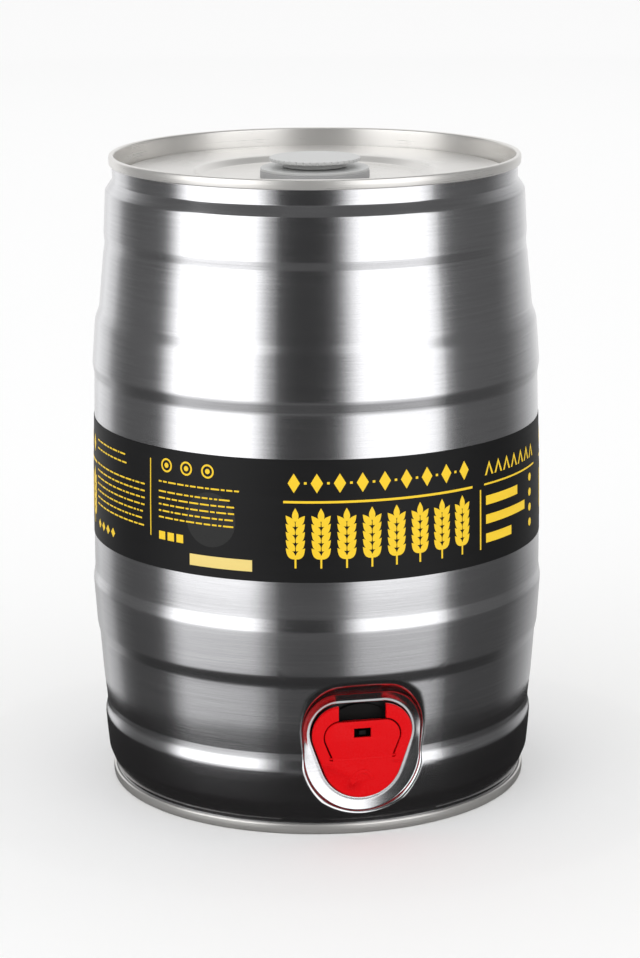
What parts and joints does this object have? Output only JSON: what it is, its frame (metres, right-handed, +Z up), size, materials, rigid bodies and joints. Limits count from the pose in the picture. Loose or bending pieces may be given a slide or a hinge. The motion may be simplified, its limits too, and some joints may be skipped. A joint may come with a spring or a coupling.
{
  "type": "mini keg beer dispenser",
  "caption": "Small steel party keg with rolled hoops and grooves, a red pull-out pouring tap in a recess at its foot and a vented bung in its recessed top.",
  "frame": {"origin": "centre of the foot ring, on the surface that the keg stands on", "axes": "+Z up the keg's axis, -Y towards the tap, +X to the right seen from the tap"},
  "size_m": [0.1792, 0.1795, 0.251],
  "materials": {
    "tinplate": "satin rolled tinplate with a fine grain around the body",
    "end_tinplate": "bright satin tinplate",
    "weld_bead": "lacquered side weld",
    "seam_compound": "grey sealing compound",
    "label_film": "satin printed film, black with yellow",
    "bung_rubber": "grey moulded rubber",
    "vent_plastic": "milky moulded plastic",
    "seal_rubber": "black seal rubber",
    "gasket_rubber": "grey gasket rubber",
    "housing_plastic": "black moulded plastic",
    "spout_plastic": "dark grey moulded plastic",
    "core_plastic": "black moulded plastic",
    "handle_red": "red moulded plastic, satin gloss"
  },
  "bodies": {
    "keg": {"body_shell": "tinplate", "top_end": "end_tinplate", "bottom_end": "end_tinplate", "top_seam_compound": "seam_compound", "bottom_seam_compound": "seam_compound", "side_seam_bead": "weld_bead", "label_band": "label_film", "bung_grommet": "bung_rubber", "vent_ring": "vent_plastic", "tap_gasket": "gasket_rubber", "tap_housing": "housing_plastic", "guide_ring": "housing_plastic"},
    "spout": {"spout_tube": "spout_plastic", "valve_seat": "spout_plastic", "front_tube_seal": "seal_rubber", "rear_tube_seal": "seal_rubber"},
    "handle": {"handle_plate": "handle_red", "valve_core": "core_plastic", "core_seal": "seal_rubber"},
    "flap": {"pull_flap": "handle_red"},
    "vent_cap": {"vent_knob": "vent_plastic"},
    "vent_plunger": {"vent_stem": "vent_plastic", "vent_seal": "seal_rubber"}
  },
  "joints": [
    {"name": "tap_pull", "type": "slide", "parent": "keg", "child": "spout", "axis": [0, -1, 0], "range_m": [0, 0.032]},
    {"name": "handle_turn", "type": "hinge", "parent": "spout", "child": "handle", "pos_m": [0, -0.0824, 0.0336], "axis": [0, -1, 0], "range_deg": [0, 90]},
    {"name": "flap_lift", "type": "hinge", "parent": "handle", "child": "flap", "pos_m": [0, -0.0817, 0.0302], "axis": [1, 0, 0], "range_deg": [0, 85]},
    {"name": "vent_turn", "type": "hinge", "parent": "keg", "child": "vent_cap", "pos_m": [0, 0, 0.2455], "axis": [0, 0, 1], "range_deg": [0, 90]},
    {"name": "vent_press", "type": "slide", "parent": "keg", "child": "vent_plunger", "axis": [0, 0, -1], "range_m": [0, 0.0015]}
  ],
  "couplings": [
    {"joint": "vent_press", "follows": "vent_turn", "m_per_rad": 0.00095483}
  ]
}
